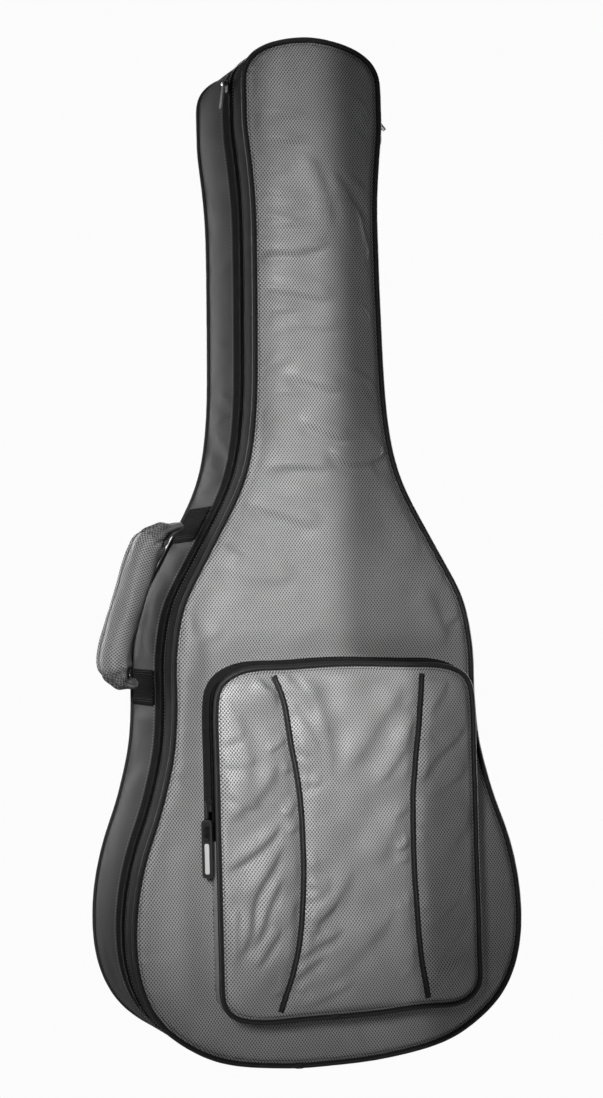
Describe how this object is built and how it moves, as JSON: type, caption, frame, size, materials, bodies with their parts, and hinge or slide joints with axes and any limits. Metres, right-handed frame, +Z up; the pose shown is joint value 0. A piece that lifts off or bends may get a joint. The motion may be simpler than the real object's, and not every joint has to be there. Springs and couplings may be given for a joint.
{
  "type": "padded guitar gig bag",
  "caption": "Soft padded bag for a full-size acoustic guitar, with a zip-opening hinged lid, a zipped front pocket, a side handle and back straps.",
  "frame": {"origin": "on the bag's left-right symmetry plane, near mid depth, on the flat underside of the bottom bumper", "axes": "+Z up towards the head of the bag, front panel with the pocket facing -Y, carry handle on -X"},
  "size_m": [0.434, 0.1999, 1.0795],
  "materials": {
    "main_cloth": "woven nylon with a small diamond dobby pattern, light grey, slight sheen",
    "gusset_cloth": "plain woven nylon, dark grey, matt",
    "lining_cloth": "brushed nylon lining, mid grey, soft matt",
    "foam": "closed-cell polyethylene foam sheet, dark grey, matt",
    "piping": "binding tape over a cord, near black",
    "webbing": "ribbed polypropylene webbing, black",
    "zip_tape": "knitted zip tape, black, matt",
    "zip_coil": "nylon coil, black, slight gloss",
    "slider_metal": "die-cast slider, black enamel",
    "pull_metal": "nickel-plated, lightly scuffed",
    "pull_rubber": "moulded soft plastic, black",
    "bumper_rubber": "ribbed rubber, black, matt",
    "buckle_plastic": "moulded acetal, black, satin",
    "strap_cloth": "padded woven nylon, near black",
    "rest_cloth": "brushed nylon over foam, dark grey",
    "hook_strap": "hook-and-loop strap, black"
  },
  "bodies": {
    "base": {"back_shell": "gusset_cloth", "back_foam": "foam", "back_lining": "lining_cloth", "rear_gusset": "gusset_cloth", "rear_gusset_foam": "foam", "rear_gusset_lining": "lining_cloth", "rear_piping": "piping", "zip_tape_base": "zip_tape", "zip_coil_base": "zip_coil", "bottom_fold_gusset": "gusset_cloth", "bottom_bumper": "bumper_rubber", "handle_patch_upper": "webbing", "handle_patch_lower": "webbing", "neck_rest": "rest_cloth", "neck_strap_anchor": "hook_strap", "strap_anchor_left": "webbing", "strap_anchor_right": "webbing", "strap_lower_anchor_left": "webbing", "strap_lower_anchor_right": "webbing", "haul_anchor": "webbing"},
    "lid": {"front_shell": "main_cloth", "front_foam": "foam", "front_lining": "lining_cloth", "front_piping": "piping", "front_strip": "gusset_cloth", "front_strip_foam": "foam", "front_strip_lining": "lining_cloth", "zip_tape_lid": "zip_tape", "zip_coil_lid": "zip_coil", "pocket_front_lower": "main_cloth", "pocket_piping_lower": "piping", "pocket_gusset": "main_cloth", "pocket_tape_lid": "zip_tape", "pocket_coil_lid": "zip_coil", "pocket_trim_lower_left": "piping", "pocket_trim_lower_right": "piping"},
    "flap": {"pocket_flap": "main_cloth", "pocket_piping_flap": "piping", "pocket_tape_flap": "zip_tape", "pocket_coil_flap": "zip_coil", "pocket_trim_flap_left": "piping", "pocket_trim_flap_right": "piping"},
    "main_slider_left": {"slider_left": "slider_metal"},
    "main_pull_left": {"pull_left": "pull_metal"},
    "main_slider_right": {"slider_right": "slider_metal"},
    "main_pull_right": {"pull_right": "pull_metal"},
    "pocket_slider_body": {"pocket_slider": "slider_metal"},
    "pocket_pull": {"pocket_pull_link": "pull_metal", "pocket_pull_tab": "pull_rubber"},
    "carry_handle": {"handle_webbing": "webbing", "handle_grip": "main_cloth"},
    "haul": {"haul_loop": "webbing"},
    "strap_left": {"strap_pad_left": "strap_cloth", "strap_buckle_left": "buckle_plastic", "strap_webbing_left": "webbing"},
    "strap_right": {"strap_pad_right": "strap_cloth", "strap_buckle_right": "buckle_plastic", "strap_webbing_right": "webbing"},
    "neck_tie": {"neck_strap": "hook_strap"}
  },
  "joints": [
    {"name": "lid_hinge", "type": "hinge", "parent": "base", "child": "lid", "pos_m": [0, -0.083, 0.002], "axis": [1, 0, 0], "range_deg": [0, 95], "deforming": ["bottom_fold_gusset"]},
    {"name": "pocket_flap_hinge", "type": "hinge", "parent": "lid", "child": "flap", "pos_m": [0.012, -0.11, 0.243], "axis": [1, 0, 0], "range_deg": [0, 135]},
    {"name": "zip_slide_left", "type": "slide", "parent": "base", "child": "main_slider_left", "axis": [0, 0, -1], "range_m": [0, 0.045]},
    {"name": "zip_pull_left", "type": "hinge", "parent": "main_slider_left", "child": "main_pull_left", "pos_m": [-0.083, -0.036, 1.036], "axis": [0, 1, 0], "range_deg": [-5, 140]},
    {"name": "zip_slide_right", "type": "slide", "parent": "base", "child": "main_slider_right", "axis": [0, 0, -1], "range_m": [-0.018, 0.025]},
    {"name": "zip_pull_right", "type": "hinge", "parent": "main_slider_right", "child": "main_pull_right", "pos_m": [0.083, -0.036, 1.016], "axis": [0, -1, 0], "range_deg": [-35, 105]},
    {"name": "pocket_zip_slide", "type": "slide", "parent": "lid", "child": "pocket_slider_body", "axis": [0, 0, 1], "range_m": [-0.03, 0.06]},
    {"name": "pocket_pull_hinge", "type": "hinge", "parent": "pocket_slider_body", "child": "pocket_pull", "pos_m": [-0.1382, -0.0922, 0.283], "axis": [0, 1, 0], "range_deg": [0, 140]},
    {"name": "handle_hinge", "type": "hinge", "parent": "base", "child": "carry_handle", "pos_m": [-0.17, 0.035, 0.399], "axis": [0.3146, 0, 0.9492], "range_deg": [-22, 22]},
    {"name": "haul_hinge", "type": "hinge", "parent": "base", "child": "haul", "pos_m": [0, 0.0828, 1.006], "axis": [1, 0, 0], "range_deg": [0, 115]},
    {"name": "strap_left_lift", "type": "hinge", "parent": "base", "child": "strap_left", "pos_m": [-0.036, 0.0804, 0.63], "axis": [1, 0, 0], "range_deg": [0, 12], "deforming": ["strap_webbing_left"]},
    {"name": "strap_right_lift", "type": "hinge", "parent": "base", "child": "strap_right", "pos_m": [0.036, 0.0804, 0.63], "axis": [1, 0, 0], "range_deg": [0, 12], "deforming": ["strap_webbing_right"]},
    {"name": "neck_tie_hinge", "type": "hinge", "parent": "base", "child": "neck_tie", "pos_m": [-0.0508, 0.0238, 0.73], "axis": [0, 0, -1], "range_deg": [0, 62]}
  ]
}
